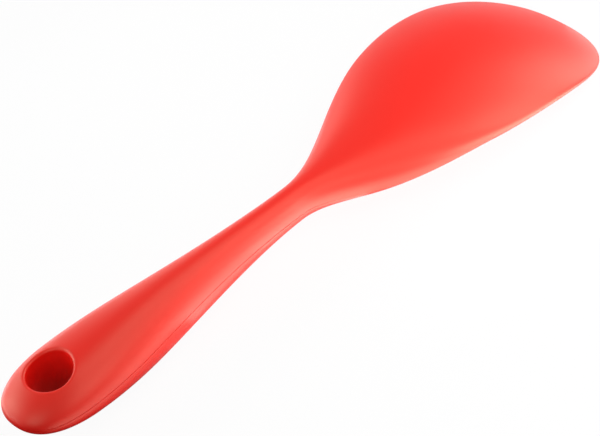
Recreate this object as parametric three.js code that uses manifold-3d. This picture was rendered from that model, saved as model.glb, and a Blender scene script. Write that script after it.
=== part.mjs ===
// A silicone rice paddle in millimetres, +Z up: a stiff nylon core inside a silicone skin that is
// moulded in two halves. It lies back up on a table at z = 0, on the flat under its handle and on the
// tip of its blade. X runs from the butt of the handle to the tip, Y across, and the origin is on the
// table under the middle of the length.

import * as THREE from 'three';
import { ParametricGeometry } from 'three/addons/geometries/ParametricGeometry.js';
import { mergeVertices } from 'three/addons/utils/BufferGeometryUtils.js';
import Module from 'manifold-3d';

// Plan view: lengths from the butt to the tip, and full widths.
const buttLength = 21.5;
const gripLength = 97.5;
const flareLength = 89;
const tipLength = 42;
const handleWidth = 28.5;
const neckWidth = 10.6;
const bladeWidth = 71.3;

// Plan view: how long each curve keeps its direction at an end, as a share of its own run.
const buttEndRoundness = 0.53;
const buttSideRoundness = 0.81;
const gripStartRoundness = 0.28;
const gripEndRoundness = 0.55;
const flareStartRoundness = 0.22;
const flareEndRoundness = 0.51;
const tipSideRoundness = 0.72;
const tipEndRoundness = 0.66;

// Side view: stations of the thickest grip, the blade's root, its crest and its front.
const thickestFromButt = 48;
const rootFromNeck = 26;
const crestFromTip = 68.5;
const frontFromTip = 36;

// Side view: height of the rim, where the two halves of the skin meet, above the table.
const buttRimHeight = 12.6;
const gripRimHeight = 11.3;
const neckRimHeight = 11.1;
const rootRimHeight = 8.4;
const crestRimHeight = 12.8;
const frontRimHeight = 10.8;
const tipRimHeight = 0.3;

// Side view: skin above and below the rim.
const buttAbove = 9.9;
const buttBelow = 7.6;
const gripAbove = 12.1;
const gripBelow = 12.2;
const neckAbove = 7.6;
const neckBelow = 4.8;
const rootAbove = 10.2;
const rootBelow = 3.8;
const crestAbove = 5.2;
const crestBelow = 3.4;
const tipAbove = 1.2;
const tipBelow = 1.2;
const buttRounding = 23;
const tipRounding = 3;

// Sections: the handle is nearly elliptical, and the blade is flatter and arched across.
const handleSectionPower = 2.15;
const bladeSectionPower = 2.65;
const bladeArch = 5.9;
const shoulderBeforeNeck = 10;
const shoulderAfterNeck = 42;

// Hang hole.
const holeFromButt = 17.1;
const holeDiameter = 15.1;
const holeRimRadius = 1.3;

// Core: silicone left round it, its tongue in the blade, and the holes that lock the skin to it.
const skinWall = 2.2;
const boreLining = 1.9;
const bladeMargin = 10;
const softTipLength = 24;
const tongueHalfThickness = 0.9;
const tongueRounding = 2;
const lockPostDiameter = 5;
const lockFromButt = 46;
const lockPitch = 20;
const bladeLockFromNeck = 44;
const pairedLockFromNeck = 74;
const pairedLockSpacing = 26;

// Gap between neighbouring pieces.
const fitGap = 0.3;

const handleWidestAt = buttLength;
const neckAt = buttLength + gripLength;
const bladeWidestAt = neckAt + flareLength;
const length = bladeWidestAt + tipLength;
const rootAt = neckAt + rootFromNeck;
const crestAt = length - crestFromTip;
const coreEnd = length - softTipLength;
const holeRadius = holeDiameter / 2;

const wasm = await Module();
wasm.setup();

function bezier(...points) {
  return new THREE.CubicBezierCurve(...points.map(([x, y]) => new THREE.Vector2(x, y)));
}

// Half of a plan outline as four curves: round butt, tapering grip, flaring shoulder, blade tip.
function planOutline({ start, end, handleHalf, neckHalf, bladeHalf }) {
  const butt = handleWidestAt - start;
  const tip = end - bladeWidestAt;
  return [
    bezier(
      [start, 0],
      [start, buttEndRoundness * handleHalf],
      [handleWidestAt - buttSideRoundness * butt, handleHalf],
      [handleWidestAt, handleHalf],
    ),
    bezier(
      [handleWidestAt, handleHalf],
      [handleWidestAt + gripStartRoundness * gripLength, handleHalf],
      [neckAt - gripEndRoundness * gripLength, neckHalf],
      [neckAt, neckHalf],
    ),
    bezier(
      [neckAt, neckHalf],
      [neckAt + flareStartRoundness * flareLength, neckHalf],
      [bladeWidestAt - flareEndRoundness * flareLength, bladeHalf],
      [bladeWidestAt, bladeHalf],
    ),
    bezier(
      [bladeWidestAt, bladeHalf],
      [bladeWidestAt + tipSideRoundness * tip, bladeHalf],
      [end, tipEndRoundness * bladeHalf],
      [end, 0],
    ),
  ];
}

// Half width of an outline at a station.
function halfWidthAt(outline, x) {
  const curve = outline.find((part) => x <= part.v3.x) ?? outline.at(-1);
  let low = 0;
  let high = 1;
  for (let step = 0; step < 30; step++) {
    const middle = (low + high) / 2;
    if (curve.getPoint(middle).x < x) low = middle;
    else high = middle;
  }
  return curve.getPoint(high).y;
}

// Smooth side-view curve through [station, height] points.
function sideCurve(points) {
  const stations = points.map(([x]) => x);
  const heights = points.map(([, z]) => z);
  const curve = new THREE.CubicInterpolant(stations, heights, 1, [0]);
  return (x) => curve.evaluate(x)[0];
}

// Growth of the sections from nothing at the round ends to full size between them.
function endGrowth(x, { start, end, startRounding, endRounding }) {
  const fromStart = Math.min((x - start) / startRounding, 1);
  const fromEnd = Math.min((end - x) / endRounding, 1);
  return Math.sqrt((1 - (1 - fromStart) ** 2) * (1 - (1 - fromEnd) ** 2));
}

// The surface that parts the halves: it follows the rim, and is arched across the blade.
const skinEnds = { start: 0, end: length, startRounding: buttRounding, endRounding: tipRounding };
const skinOutline = planOutline({
  ...skinEnds,
  handleHalf: handleWidth / 2,
  neckHalf: neckWidth / 2,
  bladeHalf: bladeWidth / 2,
});
const rimHeight = sideCurve([
  [0, buttRimHeight],
  [thickestFromButt, gripRimHeight],
  [neckAt, neckRimHeight],
  [rootAt, rootRimHeight],
  [crestAt, crestRimHeight],
  [length - frontFromTip, frontRimHeight],
  [length, tipRimHeight],
]);

function bladeShare(x) {
  return THREE.MathUtils.smoothstep(x, neckAt - shoulderBeforeNeck, neckAt + shoulderAfterNeck);
}

function partingHeight(x, y) {
  const half = halfWidthAt(skinOutline, x);
  const across = Math.abs(y) < half ? y / half : 1;
  const arch = bladeArch * (half / (bladeWidth / 2)) ** 2 * bladeShare(x);
  return rimHeight(x) + arch * (1 - across ** 2);
}

function sectionPower(x) {
  return THREE.MathUtils.lerp(handleSectionPower, bladeSectionPower, bladeShare(x));
}

// Outline and thickness of the paddle's outside.
const skinAbove = sideCurve([
  [0, buttAbove],
  [thickestFromButt, gripAbove],
  [neckAt, neckAbove],
  [rootAt, rootAbove],
  [crestAt, crestAbove],
  [length, tipAbove],
]);
const skinBelow = sideCurve([
  [0, buttBelow],
  [thickestFromButt, gripBelow],
  [neckAt, neckBelow],
  [rootAt, rootBelow],
  [crestAt, crestBelow],
  [length, tipBelow],
]);
const skinForm = { outline: skinOutline, ends: skinEnds, above: skinAbove, below: skinBelow };

// The core's outside, grown by a clearance for the hollow that it sits in.
function coreForm(clearance) {
  const wall = skinWall - clearance;
  const tongue = tongueHalfThickness + clearance;
  const ends = {
    start: wall,
    end: coreEnd + clearance,
    startRounding: buttRounding,
    endRounding: tongueRounding,
  };
  const inside = (butt, grip, neck, root, crest) => sideCurve([
    [wall, butt - wall],
    [thickestFromButt, grip - wall],
    [neckAt, neck - wall],
    [rootAt, root - wall],
    [crestAt, crest - wall],
    [coreEnd, tongue],
  ]);
  return {
    outline: planOutline({
      ...ends,
      handleHalf: handleWidth / 2 - wall,
      neckHalf: neckWidth / 2 - wall,
      bladeHalf: bladeWidth / 2 - bladeMargin + clearance,
    }),
    ends,
    above: inside(buttAbove, gripAbove, neckAbove, rootAbove, crestAbove),
    below: inside(buttBelow, gripBelow, neckBelow, rootBelow, crestBelow),
  };
}

function signedPower(value, power) {
  return Math.sign(value) * Math.abs(value) ** power;
}

// Closed body lofted along an outline, with superelliptical sections round the parting surface.
function loft({ outline, ends, above, below }, ringsPerCurve, pointsPerRing) {
  const rings = outline.length * ringsPerCurve;
  const surface = (around, along, point) => {
    const ring = Math.round(along * rings);
    const curve = Math.min(Math.floor(ring / ringsPerCurve), outline.length - 1);
    const share = ring / ringsPerCurve - curve;
    const { x, y: halfWidth } = outline[curve].getPoint((1 - Math.cos(Math.PI * share)) / 2);
    const angle = 2 * Math.PI * around;
    const roundness = 2 / sectionPower(x);
    const y = halfWidth * signedPower(Math.cos(angle), roundness);
    const rise = signedPower(Math.sin(angle), roundness) * endGrowth(x, ends);
    const thickness = rise > 0 ? above(x) : below(x);
    point.set(x, y, partingHeight(x, y) + thickness * rise);
  };
  return solid(new ParametricGeometry(surface, pointsPerRing, rings));
}

// Solid body of a closed geometry.
function solid(geometry) {
  geometry.deleteAttribute('normal');
  geometry.deleteAttribute('uv');
  const merged = mergeVertices(geometry);
  const corners = merged.index.array;
  const triVerts = [];
  for (let i = 0; i < corners.length; i += 3) {
    const [a, b, c] = corners.slice(i, i + 3);
    if (a !== b && b !== c && c !== a) triVerts.push(a, b, c);
  }
  return new wasm.Manifold(new wasm.Mesh({
    numProp: 3,
    vertProperties: merged.attributes.position.array,
    triVerts: new Uint32Array(triVerts),
  }));
}

// Upright round bar through the full height of the paddle.
function uprightBar(x, y, radius) {
  const tall = 4 * (gripAbove + gripBelow);
  const bar = new THREE.CylinderGeometry(radius, radius, tall, 24);
  return solid(bar.rotateX(Math.PI / 2).translate(x, y, gripRimHeight));
}

// Outer surface of the skin over or under a point of the plan.
function skinSurface(x, y, side) {
  const across = Math.min(Math.abs(y) / halfWidthAt(skinOutline, x), 1);
  const power = sectionPower(x);
  const rise = (1 - across ** power) ** (1 / power) * endGrowth(x, skinEnds);
  return partingHeight(x, y) + (side > 0 ? skinAbove(x) : -skinBelow(x)) * rise;
}

// Cutter for the hang hole: a bore whose two rims are rounded into the skin where it slopes.
function hangHole() {
  const rimSteps = 5;
  const rimTurn = THREE.MathUtils.degToRad(80);
  const overshoot = buttRounding;
  const lip = [];
  for (let step = 0; step <= rimSteps; step++) {
    const turn = (rimTurn * step) / rimSteps;
    lip.push({
      radius: holeRadius + holeRimRadius * (1 - Math.cos(turn)),
      depth: holeRimRadius * (1 - Math.sin(turn)),
    });
  }
  const mouth = lip.at(-1).radius;
  lip.push({ radius: mouth, depth: -overshoot }, { radius: 0, depth: -overshoot });
  const under = lip.map((point) => ({ ...point, side: -1 })).reverse();
  const over = lip.map((point) => ({ ...point, side: 1 }));
  const profile = [...under, ...over];
  const turned = new THREE.LatheGeometry(
    profile.map(({ radius }, i) => new THREE.Vector2(radius, i)),
    36,
  ).rotateX(Math.PI / 2);
  const places = turned.attributes.position;
  for (let i = 0; i < places.count; i++) {
    const { side, depth } = profile[i % profile.length];
    const x = holeFromButt + places.getX(i);
    const y = places.getY(i);
    places.setXYZ(i, x, y, skinSurface(x, y, side) - side * depth);
  }
  return solid(turned);
}

// Everything under the parting surface raised by a height, as a block with that surface on top.
function belowParting(raised) {
  const margin = bladeMargin;
  const deep = 4 * (gripAbove + gripBelow);
  const block = new THREE.BoxGeometry(length + 2 * margin, bladeWidth + 2 * margin, deep, 50, 8, 1);
  block.translate(length / 2, 0, -deep / 2);
  const corners = block.attributes.position;
  for (let i = 0; i < corners.count; i++) {
    const x = corners.getX(i);
    const y = corners.getY(i);
    if (corners.getZ(i) > -deep / 2) corners.setZ(i, partingHeight(x, y) + raised);
  }
  return solid(block);
}

// Flat that the handle stands on.
function underTable() {
  const deep = gripBelow;
  const slab = new THREE.BoxGeometry(neckAt, handleWidth, deep);
  return solid(slab.translate(neckAt / 2, 0, -deep / 2));
}

// Places of the posts of silicone that pass through the core.
const locks = [
  [lockFromButt, 0],
  [lockFromButt + lockPitch, 0],
  [neckAt + bladeLockFromNeck, 0],
  [neckAt + pairedLockFromNeck, pairedLockSpacing / 2],
  [neckAt + pairedLockFromNeck, -pairedLockSpacing / 2],
];
const lockRadius = lockPostDiameter / 2;
const liningRadius = holeRadius + boreLining;

let core = loft(coreForm(0), 9, 20).subtract(uprightBar(holeFromButt, 0, liningRadius + fitGap));
let hollow = loft(coreForm(fitGap), 9, 20).subtract(uprightBar(holeFromButt, 0, liningRadius));
for (const [x, y] of locks) {
  core = core.subtract(uprightBar(x, y, lockRadius + fitGap));
  hollow = hollow.subtract(uprightBar(x, y, lockRadius));
}
const skin = loft(skinForm, 12, 36).subtract(underTable()).subtract(hangHole()).subtract(hollow);
const upperHalf = skin.subtract(belowParting(fitGap / 2));
const lowerHalf = skin.intersect(belowParting(-fitGap / 2));

function piece(name, body, material) {
  const { vertProperties, triVerts } = body.getMesh();
  const geometry = new THREE.BufferGeometry();
  geometry.setAttribute('position', new THREE.BufferAttribute(vertProperties, 3));
  geometry.setIndex(new THREE.BufferAttribute(triVerts, 1));
  geometry.computeVertexNormals();
  const mesh = new THREE.Mesh(geometry, material);
  mesh.name = name;
  return mesh;
}

const silicone = { color: 0xe62a22, roughness: 0.45, metalness: 0 };
const nylon = { color: 0xd8d3c4, roughness: 0.6, metalness: 0 };

const fromButt = new THREE.Group();
fromButt.position.x = -length / 2;
fromButt.add(
  piece('silicone_upper_half', upperHalf, new THREE.MeshStandardMaterial(silicone)),
  piece('silicone_lower_half', lowerHalf, new THREE.MeshStandardMaterial(silicone)),
  piece('nylon_core', core, new THREE.MeshStandardMaterial(nylon)),
);

const paddle = new THREE.Group();
paddle.name = 'rice_paddle';
paddle.add(fromButt);

export default paddle;
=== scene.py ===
import math

import bmesh
import bpy
from mathutils import Matrix, Vector


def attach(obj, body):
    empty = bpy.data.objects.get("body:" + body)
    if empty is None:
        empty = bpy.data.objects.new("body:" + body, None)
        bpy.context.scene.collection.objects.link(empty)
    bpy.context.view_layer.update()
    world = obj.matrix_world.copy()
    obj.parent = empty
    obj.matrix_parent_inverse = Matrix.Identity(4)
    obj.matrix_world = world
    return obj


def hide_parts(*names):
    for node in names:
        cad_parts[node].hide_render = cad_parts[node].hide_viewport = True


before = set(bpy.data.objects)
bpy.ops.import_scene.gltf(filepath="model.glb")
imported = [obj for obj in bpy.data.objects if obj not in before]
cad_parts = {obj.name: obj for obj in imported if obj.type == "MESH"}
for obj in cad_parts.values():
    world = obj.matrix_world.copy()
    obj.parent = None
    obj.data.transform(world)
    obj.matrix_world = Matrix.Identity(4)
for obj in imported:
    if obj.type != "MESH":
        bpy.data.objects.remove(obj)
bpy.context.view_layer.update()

bl_info = {
    "name": "Silicone Rice Paddle",
    "version": (1, 0, 0),
    "blender": (4, 5, 0),
    "location": "View3D > Sidebar > Rice Paddle",
    "description": "Models a silicone rice paddle over its core and sets it on a white table",
    "category": "Add Mesh",
}

UPPER = 1
LOWER = -1

# Mesh of a half
LENGTHWISE_CELLS = 240
CROSSWISE_CELLS = 72
RING_STEPS = 8
WIDTH_HALVINGS = 34
MERGE_DISTANCE = 1e-6
SMOOTH_ANGLE = math.radians(40)
# Clearance round the hang hole's collar, and shares of the handle's half width: how far its cut reaches
# across, and how far its border is looked for
HOLE_CLEARANCE = 0.0024
HOLE_CUT = 0.74
HOLE_BORDER = 0.85
# Most of the half's thickness that its wall takes, and the least of the full wall that is left
WALL_SHARE = 0.5
LEAST_WALL = 0.02
# Lengths before and after the neck over which the parting line closes
SEAM_CLOSING = (0.010, 0.020)

# Finish: gloss and tint of the silicone, change of its roughness in the clouds, depth of the fine relief
SILICONE_IOR = 1.66
SILICONE_TINT = (1.0, 1.0, 0.72, 1.0)
CLOUD_ROUGHNESS = 0.04
RELIEF_DEPTH = 0.0001

# Table: shares of plain white for the camera and for mirrored or refracted rays, and where along X, how far
# turned and over what length the table goes from its painted shade, dark for the paddle's rays, to plain
# white
CAMERA_WHITE = 0.94
MIRRORED_WHITE = 0.15
TABLE_ROUGHNESS = 0.9
SHADE_PAINT_FROM = -0.108
SHADE_PAINT_TURN = math.radians(19)
SHADE_PAINT_OVER = 0.04

SENSOR_WIDTH = 36
CLIP_START = 0.01

# Places that lamps face, and how far off the distant ones stand
MIDDLE = (0, 0, 0)
ROOT = (0.03, -0.015, 0)
BLADE = (0.065, -0.03, 0.01)
ACROSS_ROOM = 1.2
PANEL_HEIGHT = 0.0005
# Soft lamps: name, place faced, distance, azimuth and elevation in degrees, width, height, watts
SOFTBOXES = (
    ("left_lamp", MIDDLE, ACROSS_ROOM, -138, 14, 0.7, 0.7, 2.94),
    ("far_lamp", MIDDLE, ACROSS_ROOM, -160, 24, 1.1, 0.65, 4.48),
    ("end_lamp", MIDDLE, ACROSS_ROOM, 158, 4, 1.1, 0.45, 0.84),
    ("right_lamp", MIDDLE, ACROSS_ROOM, 90, 22, 0.55, 0.95, 5.67),
    ("side_lamp", MIDDLE, ACROSS_ROOM, 56, 24, 0.45, 0.45, 0.49),
    ("fill_lamp", MIDDLE, ACROSS_ROOM, -75, 25, 0.8, 0.8, 2.4),
    ("near_lamp", ROOT, 0.25, -12, 32, 0.133, 0.205, 0.14),
    ("top_lamp", ROOT, 0.35, 20, 76, 0.2, 0.2, 0.178),
    ("blade_lamp", BLADE, 0.12, 45, 50, 0.09, 0.09, 0.07),
    ("high_lamp", BLADE, 0.12, 108, 55, 0.09, 0.09, 0.0084),
)
# Cards that stand beside the paddle: name, left, right, place across, low, high, watts
CARDS = (
    ("near_card", 0.028, 0.15, -0.08, 0.0, 0.035, 0.0665),
    ("far_card", -0.02, 0.08, 0.16, 0.05, 0.15, 0.0455),
)
# Panels that lie on the table: name, left, right, near, far, watts
PANELS = (
    ("grip_panel", -0.055, -0.02, -0.036, -0.01, 0.0063),
    ("neck_panel", -0.02, 0.015, -0.036, -0.01, 0.0098),
    ("handle_panel", -0.13, -0.055, -0.05, -0.02, 0.0091),
    ("root_panel", 0.015, 0.06, -0.06, -0.02, 0.0147),
    ("blade_panel", 0.06, 0.13, -0.12, -0.04, 0.07),
    ("tip_panel", 0.13, 0.25, -0.15, 0.0, 0.084),
    ("far_panel", -0.35, 0.04, 0.045, 0.35, 0.42),
    ("butt_panel", -0.22, -0.11, 0.03, 0.12, 0.063),
)


class PaddlePlan(bpy.types.PropertyGroup):
    """Outline seen from above, from the butt of the handle to the tip of the blade."""

    butt_length: bpy.props.FloatProperty(
        name="Butt Length",
        description="From the butt to the widest part of the handle",
        default=0.0215,
        unit="LENGTH",
    )
    grip_length: bpy.props.FloatProperty(
        name="Grip Length",
        description="From the widest part of the handle to the neck",
        default=0.0975,
        unit="LENGTH",
    )
    flare_length: bpy.props.FloatProperty(
        name="Flare Length",
        description="From the neck to the widest part of the blade",
        default=0.089,
        unit="LENGTH",
    )
    tip_length: bpy.props.FloatProperty(
        name="Tip Length",
        description="From the widest part of the blade to its tip",
        default=0.042,
        unit="LENGTH",
    )
    handle_width: bpy.props.FloatProperty(
        name="Handle Width",
        description="Width of the handle at its widest part",
        default=0.0285,
        unit="LENGTH",
    )
    neck_width: bpy.props.FloatProperty(
        name="Neck Width",
        description="Width of the neck between handle and blade",
        default=0.0106,
        unit="LENGTH",
    )
    blade_width: bpy.props.FloatProperty(
        name="Blade Width",
        description="Width of the blade at its widest part",
        default=0.0713,
        unit="LENGTH",
    )
    butt_roundness: bpy.props.FloatVectorProperty(
        name="Butt Roundness",
        description="How long the butt's curve keeps its direction at each end, as a share of its run",
        size=2,
        default=(0.53, 0.81),
    )
    grip_roundness: bpy.props.FloatVectorProperty(
        name="Grip Roundness",
        description="How long the grip's curve keeps its direction at each end, as a share of its run",
        size=2,
        default=(0.28, 0.55),
    )
    flare_roundness: bpy.props.FloatVectorProperty(
        name="Flare Roundness",
        description="How long the flare's curve keeps its direction at each end, as a share of its run",
        size=2,
        default=(0.22, 0.51),
    )
    tip_roundness: bpy.props.FloatVectorProperty(
        name="Tip Roundness",
        description="How long the tip's curve keeps its direction at each end, as a share of its run",
        size=2,
        default=(0.72, 0.66),
    )


class PaddleSide(bpy.types.PropertyGroup):
    """Side view: the rim, where the halves meet, and the skin above and below it."""

    thickest_from_butt: bpy.props.FloatProperty(
        name="Thickest From Butt",
        description="From the butt to the thickest part of the grip",
        default=0.048,
        unit="LENGTH",
    )
    root_from_neck: bpy.props.FloatProperty(
        name="Root From Neck",
        description="From the neck to the root of the blade",
        default=0.026,
        unit="LENGTH",
    )
    crest_from_tip: bpy.props.FloatProperty(
        name="Crest From Tip",
        description="From the tip back to the crest of the blade",
        default=0.0685,
        unit="LENGTH",
    )
    front_from_tip: bpy.props.FloatProperty(
        name="Front From Tip",
        description="From the tip back to where the blade turns down",
        default=0.036,
        unit="LENGTH",
    )
    rim_heights: bpy.props.FloatVectorProperty(
        name="Rim Heights",
        description="Height of the rim at the butt, grip, neck, root, crest, front and tip",
        size=7,
        default=(0.0126, 0.0113, 0.0111, 0.0084, 0.0128, 0.0108, 0.0003),
        unit="LENGTH",
    )
    above_rim: bpy.props.FloatVectorProperty(
        name="Above Rim",
        description="Skin above the rim at the butt, grip, neck, root, crest and tip",
        size=6,
        default=(0.0099, 0.0121, 0.0076, 0.0102, 0.0052, 0.0012),
        unit="LENGTH",
    )
    below_rim: bpy.props.FloatVectorProperty(
        name="Below Rim",
        description="Skin below the rim at the butt, grip, neck, root, crest and tip",
        size=6,
        default=(0.0076, 0.0122, 0.0048, 0.0038, 0.0034, 0.0012),
        unit="LENGTH",
    )
    butt_rounding: bpy.props.FloatProperty(
        name="Butt Rounding",
        description="Length over which the butt closes",
        default=0.023,
        unit="LENGTH",
    )
    tip_rounding: bpy.props.FloatProperty(
        name="Tip Rounding",
        description="Length over which the tip closes",
        default=0.003,
        unit="LENGTH",
    )
    section_powers: bpy.props.FloatVectorProperty(
        name="Section Powers",
        description="Fullness of the sections of the handle and of the blade, where 2 is an ellipse",
        size=2,
        default=(2.15, 2.65),
    )
    blade_arch: bpy.props.FloatProperty(
        name="Blade Arch",
        description="Rise of the middle of the blade over its two edges",
        default=0.0059,
        unit="LENGTH",
    )
    shoulder: bpy.props.FloatVectorProperty(
        name="Shoulder",
        description="Lengths before and after the neck over which the handle turns into the blade",
        size=2,
        default=(0.010, 0.042),
        unit="LENGTH",
    )


class PaddleDetail(bpy.types.PropertyGroup):
    """Hang hole, parting line and wall of the skin."""

    hole_from_butt: bpy.props.FloatProperty(
        name="Hole From Butt",
        description="From the butt to the middle of the hang hole",
        default=0.0171,
        unit="LENGTH",
    )
    hole_diameter: bpy.props.FloatProperty(
        name="Hole Diameter",
        description="Diameter of the hang hole's wall",
        default=0.0151,
        unit="LENGTH",
    )
    hole_rim_radius: bpy.props.FloatProperty(
        name="Hole Rim Radius",
        description="Rounding of the hang hole's two rims",
        default=0.0013,
        unit="LENGTH",
    )
    wall: bpy.props.FloatProperty(
        name="Wall",
        description="Thickness of the moulded skin",
        default=0.0008,
        unit="LENGTH",
    )
    handle_seam: bpy.props.FloatProperty(
        name="Handle Seam",
        description="Width of the parting line on the handle",
        default=0.00022,
        unit="LENGTH",
    )
    blade_seam: bpy.props.FloatProperty(
        name="Blade Seam",
        description="Width of the parting line on the blade and in the hang hole, where it is pressed shut",
        default=0.00002,
        unit="LENGTH",
    )


class PaddleFinish(bpy.types.PropertyGroup):
    """Colours and gloss."""

    silicone_colour: bpy.props.FloatVectorProperty(
        name="Silicone",
        description="Colour of the silicone skin",
        subtype="COLOR",
        size=3,
        min=0.0,
        max=1.0,
        default=(0.94, 0.006, 0.003),
    )
    silicone_shade: bpy.props.FloatVectorProperty(
        name="Silicone Shade",
        description="Slightly deeper colour in the clouding of the silicone",
        subtype="COLOR",
        size=3,
        min=0.0,
        max=1.0,
        default=(0.90, 0.004, 0.002),
    )
    silicone_roughness: bpy.props.FloatProperty(
        name="Silicone Roughness",
        description="Roughness of the satin skin",
        subtype="FACTOR",
        min=0.0,
        max=1.0,
        default=0.43,
    )
    core_colour: bpy.props.FloatVectorProperty(
        name="Core",
        description="Colour of the moulded core",
        subtype="COLOR",
        size=3,
        min=0.0,
        max=1.0,
        default=(0.70, 0.66, 0.56),
    )
    core_fleck: bpy.props.FloatVectorProperty(
        name="Core Fleck",
        description="Colour of the flow marks in the moulded core",
        subtype="COLOR",
        size=3,
        min=0.0,
        max=1.0,
        default=(0.62, 0.57, 0.47),
    )


class PaddleStage(bpy.types.PropertyGroup):
    """Table, lamps and camera."""

    table_size: bpy.props.FloatProperty(
        name="Table Size",
        description="Side of the white table",
        default=6.0,
        unit="LENGTH",
    )
    table_colour: bpy.props.FloatVectorProperty(
        name="Table",
        description="Colour of the table",
        subtype="COLOR",
        size=3,
        min=0.0,
        max=1.0,
        default=(0.90, 0.90, 0.90),
    )
    # Painted shade: dark colour on the table beyond the butt, seen by the paddle's rays but not by the
    # camera
    painted_table_shade: bpy.props.FloatVectorProperty(
        name="Table Shade",
        description="Colour that the paddle sees on the unlit side of the table, beyond its butt",
        subtype="COLOR",
        size=3,
        min=0.0,
        max=1.0,
        default=(0.06, 0.06, 0.06),
    )
    room_light: bpy.props.FloatProperty(
        name="Room Light",
        description="Strength of the even light from all round",
        default=0.27,
    )
    view_azimuth: bpy.props.FloatProperty(
        name="View Azimuth",
        description="Bearing of the camera round the paddle",
        subtype="ANGLE",
        default=math.radians(-37.196),
    )
    view_elevation: bpy.props.FloatProperty(
        name="View Elevation",
        description="Height of the camera over the table, as an angle",
        subtype="ANGLE",
        default=math.radians(42.742),
    )
    view_roll: bpy.props.FloatProperty(
        name="View Roll",
        description="Turn of the camera about its own axis",
        subtype="ANGLE",
        default=math.radians(-11.150),
    )
    view_distance: bpy.props.FloatProperty(
        name="View Distance",
        description="From the camera to the point it looks at",
        default=0.73705,
        unit="LENGTH",
    )
    view_point: bpy.props.FloatVectorProperty(
        name="View Point",
        description="Point on the table that the camera looks at",
        size=3,
        default=(-0.00108, 0.00384, 0.0),
        unit="LENGTH",
        subtype="TRANSLATION",
    )
    lens: bpy.props.FloatProperty(
        name="Lens",
        description="Focal length of the camera on a 36 mm sensor, in millimetres",
        default=134.62,
    )


class PaddleSettings(bpy.types.PropertyGroup):
    """All settings of the paddle."""

    plan: bpy.props.PointerProperty(type=PaddlePlan)
    side: bpy.props.PointerProperty(type=PaddleSide)
    detail: bpy.props.PointerProperty(type=PaddleDetail)
    finish: bpy.props.PointerProperty(type=PaddleFinish)
    stage: bpy.props.PointerProperty(type=PaddleStage)


def mix(low, high, share):
    return low + (high - low) * share


def smoothstep(value, low, high):
    share = min(max((value - low) / (high - low), 0.0), 1.0)
    return share * share * (3 - 2 * share)


def signed_power(value, power):
    return math.copysign(abs(value) ** power, value)


def bezier_point(points, t):
    """Point of a cubic curve in the plan."""
    s = 1 - t
    weights = (s * s * s, 3 * s * s * t, 3 * s * t * t, t * t * t)
    return (
        sum(w * p[0] for w, p in zip(weights, points)),
        sum(w * p[1] for w, p in zip(weights, points)),
    )


class SideCurve:
    """Smooth curve through stations, with the mean of the neighbouring slopes at each."""

    def __init__(self, stations, heights):
        self.stations = stations
        self.heights = list(heights)
        slopes = [
            (self.heights[i + 1] - self.heights[i]) / (stations[i + 1] - stations[i])
            for i in range(len(stations) - 1)
        ]
        inner = [(a + b) / 2 for a, b in zip(slopes, slopes[1:])]
        self.slopes = [slopes[0], *inner, slopes[-1]]

    def __call__(self, x):
        x = min(max(x, self.stations[0]), self.stations[-1])
        i = 0
        while i < len(self.stations) - 2 and x > self.stations[i + 1]:
            i += 1
        run = self.stations[i + 1] - self.stations[i]
        t = (x - self.stations[i]) / run
        return (
            (2 * t**3 - 3 * t**2 + 1) * self.heights[i]
            + (t**3 - 2 * t**2 + t) * run * self.slopes[i]
            + (3 * t**2 - 2 * t**3) * self.heights[i + 1]
            + (t**3 - t**2) * run * self.slopes[i + 1]
        )


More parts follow.
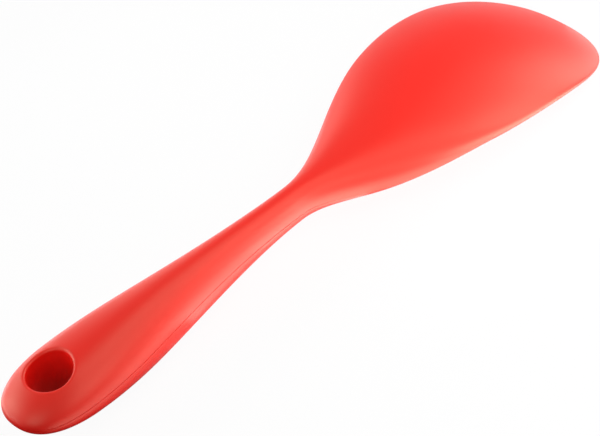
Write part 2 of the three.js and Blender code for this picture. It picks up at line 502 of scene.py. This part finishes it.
class PaddleForm:
    """The paddle's outer surface, measured from the butt along X."""

    def __init__(self, settings):
        plan, side, detail = settings.plan, settings.side, settings.detail
        self.widest = plan.butt_length
        self.neck = self.widest + plan.grip_length
        self.broadest = self.neck + plan.flare_length
        self.length = self.broadest + plan.tip_length
        handle, neck, blade = plan.handle_width / 2, plan.neck_width / 2, plan.blade_width / 2
        self.blade_half = blade
        butt, grip = plan.butt_roundness, plan.grip_roundness
        flare, tip = plan.flare_roundness, plan.tip_roundness
        self.outline = (
            (
                (0.0, 0.0),
                (0.0, butt[0] * handle),
                (self.widest - butt[1] * plan.butt_length, handle),
                (self.widest, handle),
            ),
            (
                (self.widest, handle),
                (self.widest + grip[0] * plan.grip_length, handle),
                (self.neck - grip[1] * plan.grip_length, neck),
                (self.neck, neck),
            ),
            (
                (self.neck, neck),
                (self.neck + flare[0] * plan.flare_length, neck),
                (self.broadest - flare[1] * plan.flare_length, blade),
                (self.broadest, blade),
            ),
            (
                (self.broadest, blade),
                (self.broadest + tip[0] * plan.tip_length, blade),
                (self.length, tip[1] * blade),
                (self.length, 0.0),
            ),
        )
        grip_at = side.thickest_from_butt
        root_at = self.neck + side.root_from_neck
        crest_at = self.length - side.crest_from_tip
        front_at = self.length - side.front_from_tip
        skin_stations = (0.0, grip_at, self.neck, root_at, crest_at, self.length)
        rim_stations = (0.0, grip_at, self.neck, root_at, crest_at, front_at, self.length)
        self.rim = SideCurve(rim_stations, side.rim_heights)
        self.above = SideCurve(skin_stations, side.above_rim)
        self.below = SideCurve(skin_stations, side.below_rim)
        self.butt_rounding = side.butt_rounding
        self.tip_rounding = side.tip_rounding
        self.powers = tuple(side.section_powers)
        self.arch = side.blade_arch
        self.shoulder = tuple(side.shoulder)
        self.seams = (detail.handle_seam, detail.blade_seam)
        self.known_widths = {}

    def half_width(self, x):
        if x not in self.known_widths:
            self.known_widths[x] = self.find_half_width(x)
        return self.known_widths[x]

    def find_half_width(self, x):
        curve = self.outline[-1]
        for candidate in self.outline:
            if x <= candidate[3][0]:
                curve = candidate
                break
        low, high = 0.0, 1.0
        for _ in range(WIDTH_HALVINGS):
            middle = (low + high) / 2
            if bezier_point(curve, middle)[0] < x:
                low = middle
            else:
                high = middle
        return bezier_point(curve, high)[1]

    def blade_share(self, x):
        return smoothstep(x, self.neck - self.shoulder[0], self.neck + self.shoulder[1])

    def power(self, x):
        return mix(*self.powers, self.blade_share(x))

    def seam(self, x):
        before, after = SEAM_CLOSING
        return mix(*self.seams, smoothstep(x, self.neck - before, self.neck + after))

    def growth(self, x):
        from_butt = min(max(x / self.butt_rounding, 0.0), 1.0)
        from_tip = min(max((self.length - x) / self.tip_rounding, 0.0), 1.0)
        return math.sqrt((1 - (1 - from_butt) ** 2) * (1 - (1 - from_tip) ** 2))

    def thickness(self, x, side):
        return (self.above(x) if side == UPPER else self.below(x)) * self.growth(x)

    def parting(self, x, across):
        """Height of the surface that parts the halves, at a share of the half width."""
        arch = self.arch * (self.half_width(x) / self.blade_half) ** 2 * self.blade_share(x)
        return self.rim(x) + arch * (1 - across * across)

    def height(self, x, across, rise, side):
        """Height of the skin where its section has risen to a share of its thickness."""
        lip = self.seam(x) / 2
        skin = self.parting(x, across) + side * (lip + (self.thickness(x, side) - lip) * rise)
        return max(skin, 0.0)

    def skin_over(self, x, y, side):
        """Height of the skin over or under a point of the plan."""
        across = min(abs(y) / self.half_width(x), 1.0)
        power = self.power(x)
        return self.height(x, across, (1 - across**power) ** (1 / power), side)

    def skin_point(self, along, around, side):
        """Point of the skin at shares of the length and of the way round a half section."""
        x = self.length * (1 - math.cos(math.pi * along)) / 2
        angle = math.pi * around
        roundness = 2 / self.power(x)
        across = signed_power(math.cos(angle), roundness)
        rise = abs(math.sin(angle)) ** roundness
        half = self.half_width(x)
        return Vector((x, half * across, self.height(x, across, rise, side)))


def deselect_all():
    if bpy.context.object and bpy.context.object.mode != "OBJECT":
        bpy.ops.object.mode_set(mode="OBJECT")
    bpy.ops.object.select_all(action="DESELECT")


def open_border(mesh, inside):
    """Selects the open edges whose two ends are inside, and nothing else."""
    for face in mesh.faces:
        face.select = False
    for edge in mesh.edges:
        edge.select = edge.is_boundary and all(inside(vert.co) for vert in edge.verts)
    mesh.select_flush_mode()
    for vert in mesh.verts:
        vert.select = any(edge.select for edge in vert.link_edges)


def draw_ring(piece, place):
    """Extrudes the selected open edges and puts each new vertex in its place."""
    bpy.ops.mesh.extrude_edges_move(TRANSFORM_OT_translate={"value": (0, 0, 0)})
    mesh = bmesh.from_edit_mesh(piece.data)
    for vert in mesh.verts:
        if vert.select:
            vert.co = place(vert.co)
    bmesh.update_edit_mesh(piece.data)


def cut_hang_hole(piece, form, detail, side):
    """Opens the hang hole in a half: an even collar, a rounded rim, and its wall to the seam."""
    middle = detail.hole_from_butt
    radius = detail.hole_diameter / 2
    lip = detail.hole_rim_radius
    collar_reach = radius + lip

    def polar(co):
        return math.atan2(co.y, co.x - middle), math.hypot(co.x - middle, co.y)

    def on_skin(angle, distance, depth):
        x = middle + distance * math.cos(angle)
        y = distance * math.sin(angle)
        return Vector((x, y, form.skin_over(x, y, side) - side * depth))

    bpy.ops.mesh.select_mode(type="FACE")
    bpy.ops.mesh.select_all(action="DESELECT")
    mesh = bmesh.from_edit_mesh(piece.data)
    for face in mesh.faces:
        co = face.calc_center_median()
        near = abs(co.x - middle) < collar_reach + HOLE_CLEARANCE
        face.select = near and abs(co.y) < HOLE_CUT * form.half_width(co.x)
    bmesh.update_edit_mesh(piece.data)
    bpy.ops.mesh.delete(type="FACE")

    bpy.ops.mesh.select_mode(type="EDGE")
    mesh = bmesh.from_edit_mesh(piece.data)
    open_border(
        mesh,
        lambda co: polar(co)[1] < 2 * collar_reach
        and abs(co.y) < HOLE_BORDER * form.half_width(co.x),
    )
    bmesh.update_edit_mesh(piece.data)

    for step in range(RING_STEPS):
        share = 1 / (RING_STEPS - step)

        def collar(co):
            angle, distance = polar(co)
            return on_skin(angle, mix(distance, collar_reach, share), 0.0)

        draw_ring(piece, collar)

    for step in range(1, RING_STEPS + 1):
        turn = math.radians(90) * (1 - step / RING_STEPS)
        distance = radius + lip * (1 - math.cos(turn))
        depth = lip * (1 - math.sin(turn))
        draw_ring(piece, lambda co: on_skin(polar(co)[0], distance, depth))

    for step in range(RING_STEPS):
        share = 1 / (RING_STEPS - step)

        def wall(co):
            across = abs(co.y) / form.half_width(co.x)
            seam = form.parting(co.x, across) + side * detail.blade_seam / 2
            return Vector((co.x, co.y, mix(co.z, seam, share)))

        draw_ring(piece, wall)


def apply_modifier(piece, kind, **values):
    modifier = piece.modifiers.new(kind.title(), kind)
    for name, value in values.items():
        setattr(modifier, name, value)
    bpy.ops.object.modifier_apply(modifier=modifier.name)


def model_half(name, side, settings):
    """One half of the skin: a grid laid on the form, with the hang hole, given its wall."""
    form = PaddleForm(settings)
    detail = settings.detail
    deselect_all()
    bpy.ops.mesh.primitive_grid_add(
        x_subdivisions=LENGTHWISE_CELLS, y_subdivisions=CROSSWISE_CELLS, size=1.0
    )
    piece = bpy.context.object
    piece.name = name
    piece.data.name = name
    bpy.ops.object.mode_set(mode="EDIT")
    mesh = bmesh.from_edit_mesh(piece.data)
    for vert in mesh.verts:
        vert.co = form.skin_point(vert.co.x + 0.5, vert.co.y + 0.5, side)
    bmesh.update_edit_mesh(piece.data)
    cut_hang_hole(piece, form, detail, side)

    bpy.ops.mesh.select_mode(type="VERT")
    bpy.ops.mesh.select_all(action="SELECT")
    bpy.ops.mesh.remove_doubles(threshold=MERGE_DISTANCE)
    bpy.ops.mesh.normals_make_consistent(inside=False)
    mesh = bmesh.from_edit_mesh(piece.data)
    if sum(face.normal.z * face.calc_area() for face in mesh.faces) * side < 0:
        bpy.ops.mesh.flip_normals()
    bpy.ops.transform.translate(value=(-form.length / 2, 0, 0))
    bpy.ops.object.mode_set(mode="OBJECT")

    thin = piece.vertex_groups.new(name="wall")
    for vert in piece.data.vertices:
        room = form.thickness(vert.co.x + form.length / 2, side)
        thin.add([vert.index], min(1.0, WALL_SHARE * room / detail.wall), "REPLACE")
    apply_modifier(
        piece,
        "SOLIDIFY",
        thickness=detail.wall,
        offset=-1.0,
        vertex_group=thin.name,
        thickness_vertex_group=LEAST_WALL,
        use_even_offset=False,
        use_quality_normals=True,
    )
    piece.vertex_groups.clear()
    bpy.ops.object.shade_smooth_by_angle(angle=SMOOTH_ANGLE)
    return piece


def new_material(name):
    material = bpy.data.materials.new(name)
    material.use_nodes = True
    nodes = material.node_tree.nodes
    return material, nodes, material.node_tree.links, nodes["Principled BSDF"]


def noise(nodes, links, scale, detail, roughness):
    """Noise texture on Object coordinates."""
    place = nodes.new("ShaderNodeTexCoord")
    texture = nodes.new("ShaderNodeTexNoise")
    texture.inputs["Scale"].default_value = scale
    texture.inputs["Detail"].default_value = detail
    texture.inputs["Roughness"].default_value = roughness
    links.new(place.outputs["Object"], texture.inputs["Vector"])
    return texture


def blend_colours(nodes, links, factor, first, second):
    """Colour that goes from the first to the second with a factor."""
    blend = nodes.new("ShaderNodeMix")
    blend.data_type = "RGBA"
    blend.inputs["A"].default_value = (*first, 1)
    blend.inputs["B"].default_value = (*second, 1)
    links.new(factor, blend.inputs["Factor"])
    return blend.outputs["Result"]


def spread(nodes, links, factor, low, high):
    """Value between two limits."""
    scaled = nodes.new("ShaderNodeMapRange")
    scaled.inputs["To Min"].default_value = low
    scaled.inputs["To Max"].default_value = high
    links.new(factor, scaled.inputs["Value"])
    return scaled.outputs["Result"]


def add_relief(nodes, links, texture, strength, shader):
    """Fine relief from a texture."""
    bump = nodes.new("ShaderNodeBump")
    bump.inputs["Strength"].default_value = strength
    bump.inputs["Distance"].default_value = RELIEF_DEPTH
    links.new(texture.outputs["Fac"], bump.inputs["Height"])
    links.new(bump.outputs["Normal"], shader.inputs["Normal"])


def silicone_finish(finish):
    """Satin silicone: a clouded red skin with a very fine moulded grain."""
    material, nodes, links, skin = new_material("satin_silicone")
    clouds = noise(nodes, links, scale=45, detail=3, roughness=0.5)
    grain = noise(nodes, links, scale=2600, detail=4, roughness=0.6)
    skin.inputs["IOR"].default_value = SILICONE_IOR
    skin.inputs["Specular Tint"].default_value = SILICONE_TINT
    colour = blend_colours(
        nodes, links, clouds.outputs["Fac"], finish.silicone_colour, finish.silicone_shade
    )
    gloss = spread(
        nodes,
        links,
        clouds.outputs["Fac"],
        finish.silicone_roughness - CLOUD_ROUGHNESS,
        finish.silicone_roughness + CLOUD_ROUGHNESS,
    )
    links.new(colour, skin.inputs["Base Color"])
    links.new(gloss, skin.inputs["Roughness"])
    add_relief(nodes, links, grain, 0.05, skin)
    return material


def core_finish(finish):
    """Natural nylon with faint flow marks."""
    material, nodes, links, nylon = new_material("natural_nylon")
    flow = noise(nodes, links, scale=90, detail=5, roughness=0.6)
    pits = noise(nodes, links, scale=1500, detail=3, roughness=0.5)
    colour = blend_colours(nodes, links, flow.outputs["Fac"], finish.core_colour, finish.core_fleck)
    gloss = spread(nodes, links, flow.outputs["Fac"], low=0.48, high=0.62)
    links.new(colour, nylon.inputs["Base Color"])
    links.new(gloss, nylon.inputs["Roughness"])
    add_relief(nodes, links, pits, 0.15, nylon)
    return material


def dress_half(piece, node, settings):
    """Gives a half its finish and puts it in the place of its CAD node."""
    piece.data.materials.clear()
    piece.data.materials.append(silicone_finish(settings.finish))
    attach(piece, "root")
    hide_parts(node)


class PADDLE_OT_upper_half(bpy.types.Operator):
    """Model the upper half of the silicone skin, with the back of the blade"""

    bl_idname = "rice_paddle.upper_half"
    bl_label = "Upper Half"

    def execute(self, context):
        settings = context.scene.rice_paddle
        dress_half(model_half("upper_skin", UPPER, settings), "silicone_upper_half", settings)
        return {"FINISHED"}


class PADDLE_OT_lower_half(bpy.types.Operator):
    """Model the lower half of the silicone skin, with the hollow of the blade"""

    bl_idname = "rice_paddle.lower_half"
    bl_label = "Lower Half"

    def execute(self, context):
        settings = context.scene.rice_paddle
        dress_half(model_half("lower_skin", LOWER, settings), "silicone_lower_half", settings)
        return {"FINISHED"}


class PADDLE_OT_core(bpy.types.Operator):
    """Give the nylon core inside the skin its finish"""

    bl_idname = "rice_paddle.core"
    bl_label = "Core"

    def execute(self, context):
        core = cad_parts["nylon_core"]
        core.data.materials.clear()
        core.data.materials.append(core_finish(context.scene.rice_paddle.finish))
        return {"FINISHED"}


def bearing(azimuth, elevation):
    """Direction from a place on the table, where azimuth 0 is the near side."""
    return Vector((
        math.sin(azimuth) * math.cos(elevation),
        -math.cos(azimuth) * math.cos(elevation),
        math.sin(elevation),
    ))


def add_lamp(name, place, rotation, width, height, energy):
    """Flat soft lamp, hidden from the camera."""
    deselect_all()
    bpy.ops.object.light_add(type="AREA", location=place, rotation=rotation)
    lamp = bpy.context.object
    lamp.name = name
    lamp.visible_camera = False
    lamp.data.shape = "RECTANGLE"
    lamp.data.size = width
    lamp.data.size_y = height
    lamp.data.energy = energy


def add_softbox(name, faced, distance, azimuth, elevation, width, height, energy):
    """Soft lamp that stands off from a place and faces it."""
    towards = bearing(math.radians(azimuth), math.radians(elevation))
    place = Vector(faced) + towards * distance
    add_lamp(name, place, towards.to_track_quat("Z", "Y").to_euler(), width, height, energy)


def add_panel(name, left, right, near, far, energy):
    """Luminous panel that lies on the table and faces up."""
    place = ((left + right) / 2, (near + far) / 2, PANEL_HEIGHT)
    add_lamp(name, place, (math.pi, 0, 0), right - left, far - near, energy)


def add_card(name, left, right, across, low, high, energy):
    """Luminous card that stands beside the paddle and faces it."""
    place = ((left + right) / 2, across, (low + high) / 2)
    tilt = math.copysign(math.pi / 2, -across)
    add_lamp(name, place, (tilt, 0, 0), right - left, high - low, energy)


def seen_plainly(nodes, links, path):
    """Share of plain white in the table: most for the camera, some for mirrored and refracted rays."""
    share = spread(nodes, links, path.outputs["Is Camera Ray"], 0.0, CAMERA_WHITE)
    for kind in ("Is Glossy Ray", "Is Transmission Ray"):
        most = nodes.new("ShaderNodeMath")
        most.operation = "MAXIMUM"
        links.new(share, most.inputs[0])
        links.new(spread(nodes, links, path.outputs[kind], 0.0, MIRRORED_WHITE), most.inputs[1])
        share = most.outputs["Value"]
    return share


def lay_table(stage):
    """White table that keeps a faint shadow, with painted shade on its side beyond the paddle's butt, which
    the paddle sees and the camera does not.
    """
    deselect_all()
    bpy.ops.mesh.primitive_plane_add(size=stage.table_size)
    table = bpy.context.object
    table.name = "table"
    material, nodes, links, paint = new_material("white_table")
    path = nodes.new("ShaderNodeLightPath")
    place = nodes.new("ShaderNodeTexCoord")
    turn = nodes.new("ShaderNodeMapping")
    turn.vector_type = "TEXTURE"
    turn.inputs["Location"].default_value = (SHADE_PAINT_FROM, 0, 0)
    turn.inputs["Rotation"].default_value = (0, 0, SHADE_PAINT_TURN)
    turn.inputs["Scale"].default_value = (SHADE_PAINT_OVER, 1, 1)
    sweep = nodes.new("ShaderNodeTexGradient")
    links.new(place.outputs["Object"], turn.inputs["Vector"])
    links.new(turn.outputs["Vector"], sweep.inputs["Vector"])
    # Painted shade: beyond the butt the table's colour fades to dark for the paddle's rays, while the
    # camera still sees white
    clear_of_painted_shade = nodes.new("ShaderNodeMath")
    clear_of_painted_shade.operation = "MAXIMUM"
    links.new(sweep.outputs["Fac"], clear_of_painted_shade.inputs[0])
    links.new(path.outputs["Is Camera Ray"], clear_of_painted_shade.inputs[1])
    paper = blend_colours(
        nodes, links, clear_of_painted_shade.outputs["Value"], stage.painted_table_shade, stage.table_colour
    )
    paint.inputs["Roughness"].default_value = TABLE_ROUGHNESS
    paint.inputs["Specular IOR Level"].default_value = 0.0
    links.new(paper, paint.inputs["Base Color"])
    glow = nodes.new("ShaderNodeEmission")
    glow.inputs["Strength"].default_value = 1.0
    # Painted shade in the glow too, so the paddle mirrors a dark table there
    white = blend_colours(nodes, links, clear_of_painted_shade.outputs["Value"], stage.painted_table_shade, (1, 1, 1))
    links.new(white, glow.inputs["Color"])
    blend = nodes.new("ShaderNodeMixShader")
    links.new(seen_plainly(nodes, links, path), blend.inputs["Fac"])
    links.new(paint.outputs["BSDF"], blend.inputs[1])
    links.new(glow.outputs["Emission"], blend.inputs[2])
    links.new(blend.outputs["Shader"], nodes["Material Output"].inputs["Surface"])
    table.data.materials.append(material)


def light_room(stage):
    """Even, dim room light."""
    world = bpy.data.worlds.new("white_room")
    world.use_nodes = True
    bpy.context.scene.world = world
    room = world.node_tree.nodes["Background"]
    room.inputs["Color"].default_value = (1, 1, 1, 1)
    room.inputs["Strength"].default_value = stage.room_light


def set_camera(stage):
    """Camera at the photograph's angle."""
    back = bearing(stage.view_azimuth, stage.view_elevation)
    right = Vector((0, 0, 1)).cross(back).normalized()
    up = back.cross(right)
    turn = Matrix.Rotation(stage.view_roll, 3, back)
    place = Vector(stage.view_point) + back * stage.view_distance
    rotation = turn @ Matrix((right, up, back)).transposed()
    deselect_all()
    bpy.ops.object.camera_add()
    camera = bpy.context.object
    camera.name = "camera"
    camera.matrix_world = Matrix.Translation(place) @ rotation.to_4x4()
    camera.data.lens = stage.lens
    camera.data.sensor_width = SENSOR_WIDTH
    camera.data.clip_start = CLIP_START
    bpy.context.scene.camera = camera


class PADDLE_OT_stage(bpy.types.Operator):
    """Set the white table, the soft lamps and the camera"""

    bl_idname = "rice_paddle.stage"
    bl_label = "Stage"

    def execute(self, context):
        stage = context.scene.rice_paddle.stage
        context.scene.view_settings.view_transform = "Standard"
        lay_table(stage)
        light_room(stage)
        for softbox in SOFTBOXES:
            add_softbox(*softbox)
        for card in CARDS:
            add_card(*card)
        for panel in PANELS:
            add_panel(*panel)
        set_camera(stage)
        return {"FINISHED"}


class PADDLE_PT_panel(bpy.types.Panel):
    """Lists the paddle's pieces and settings"""

    bl_idname = "PADDLE_PT_panel"
    bl_label = "Rice Paddle"
    bl_space_type = "VIEW_3D"
    bl_region_type = "UI"
    bl_category = "Rice Paddle"

    def draw(self, context):
        settings = context.scene.rice_paddle
        for operator in (PADDLE_OT_upper_half, PADDLE_OT_lower_half, PADDLE_OT_core, PADDLE_OT_stage):
            self.layout.operator(operator.bl_idname)
        for group in (settings.plan, settings.side, settings.detail, settings.finish, settings.stage):
            box = self.layout.box()
            for name in group.__annotations__:
                box.prop(group, name)


CLASSES = (
    PaddlePlan,
    PaddleSide,
    PaddleDetail,
    PaddleFinish,
    PaddleStage,
    PaddleSettings,
    PADDLE_OT_upper_half,
    PADDLE_OT_lower_half,
    PADDLE_OT_core,
    PADDLE_OT_stage,
    PADDLE_PT_panel,
)


def register():
    for cls in CLASSES:
        bpy.utils.register_class(cls)
    bpy.types.Scene.rice_paddle = bpy.props.PointerProperty(type=PaddleSettings)


def unregister():
    del bpy.types.Scene.rice_paddle
    for cls in reversed(CLASSES):
        bpy.utils.unregister_class(cls)


def main():
    register()
    bpy.ops.rice_paddle.upper_half()
    bpy.ops.rice_paddle.lower_half()
    bpy.ops.rice_paddle.core()
    bpy.ops.rice_paddle.stage()


if __name__ == "__main__":
    main()
